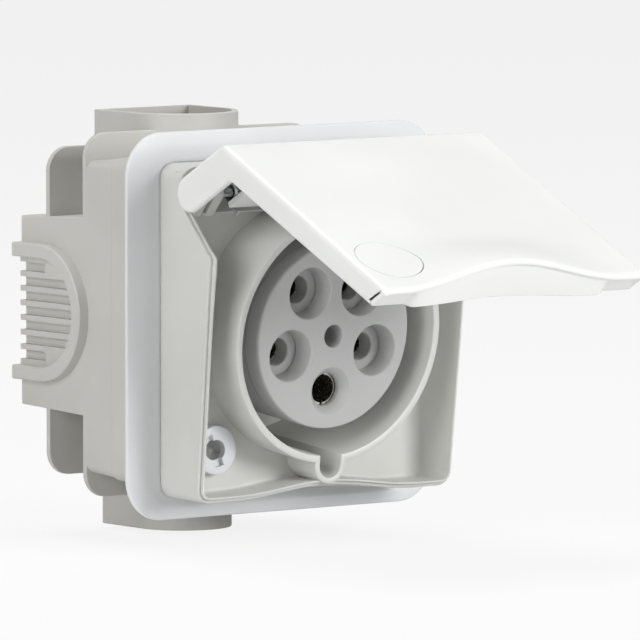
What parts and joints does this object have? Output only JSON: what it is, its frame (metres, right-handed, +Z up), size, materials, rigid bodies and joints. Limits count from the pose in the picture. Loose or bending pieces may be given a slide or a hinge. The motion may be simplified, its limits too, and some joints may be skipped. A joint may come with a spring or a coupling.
{
  "type": "wall socket",
  "caption": "Flush-mounted industrial wall socket with a round keyed shroud, a hinged spring lid and a stepped wall box behind a square cover frame.",
  "frame": {"origin": "centre of the wall box's flat rear face", "axes": "+Y into the wall, square to the rear face; +Z up; +X to the right for someone in front of the socket, which faces -Y"},
  "size_m": [0.0964, 0.1551, 0.1053],
  "materials": {
    "box_plastic": "light warm grey moulded plastic",
    "frame_plastic": "near-white satin plastic",
    "housing_plastic": "light grey satin plastic",
    "insert_plastic": "mid grey moulded plastic",
    "carrier_plastic": "black moulded plastic, hidden",
    "lid_plastic": "off-white satin plastic",
    "screw_plastic": "off-white plastic",
    "seal_rubber": "soft black rubber",
    "nickel_plated_brass": "nickel-plated brass",
    "zinc_plated_steel": "zinc-plated steel"
  },
  "bodies": {
    "socket": {"carrier_screw_left": "zinc_plated_steel", "carrier_screw_right": "zinc_plated_steel", "centre_screw": "zinc_plated_steel", "contact_block": "insert_plastic", "contact_carrier": "carrier_plastic", "contact_earth": "nickel_plated_brass", "contact_insert": "insert_plastic", "contact_line_1": "nickel_plated_brass", "contact_line_2": "nickel_plated_brass", "contact_line_3": "nickel_plated_brass", "contact_neutral": "nickel_plated_brass", "cover_frame": "frame_plastic", "hinge_pin": "zinc_plated_steel", "lid_spring": "zinc_plated_steel", "socket_housing": "housing_plastic", "terminal_screw_earth": "zinc_plated_steel", "terminal_screw_line_1": "zinc_plated_steel", "terminal_screw_line_2": "zinc_plated_steel", "terminal_screw_line_3": "zinc_plated_steel", "terminal_screw_neutral": "zinc_plated_steel", "wall_box": "box_plastic", "wall_gasket": "seal_rubber"},
    "lid": {"lid": "lid_plastic", "lid_seal": "seal_rubber"},
    "quarter_turn_lower": {"quarter_turn_screw_lower": "screw_plastic"},
    "quarter_turn_upper": {"quarter_turn_screw_upper": "screw_plastic"}
  },
  "joints": [
    {"name": "lid_hinge", "type": "hinge", "parent": "socket", "child": "lid", "pos_m": [0, -0.0765, 0.0339], "axis": [1, 0, 0], "range_deg": [-35, 70], "deforming": ["lid_spring"]},
    {"name": "quarter_turn_lower", "type": "hinge", "parent": "socket", "child": "quarter_turn_lower", "pos_m": [-0.0288, -0.0727, -0.0304], "axis": [0, 1, 0], "range_deg": [0, 90]},
    {"name": "quarter_turn_upper", "type": "hinge", "parent": "socket", "child": "quarter_turn_upper", "pos_m": [0.0299, -0.0727, 0.0221], "axis": [0, 1, 0], "range_deg": [0, 90]}
  ]
}
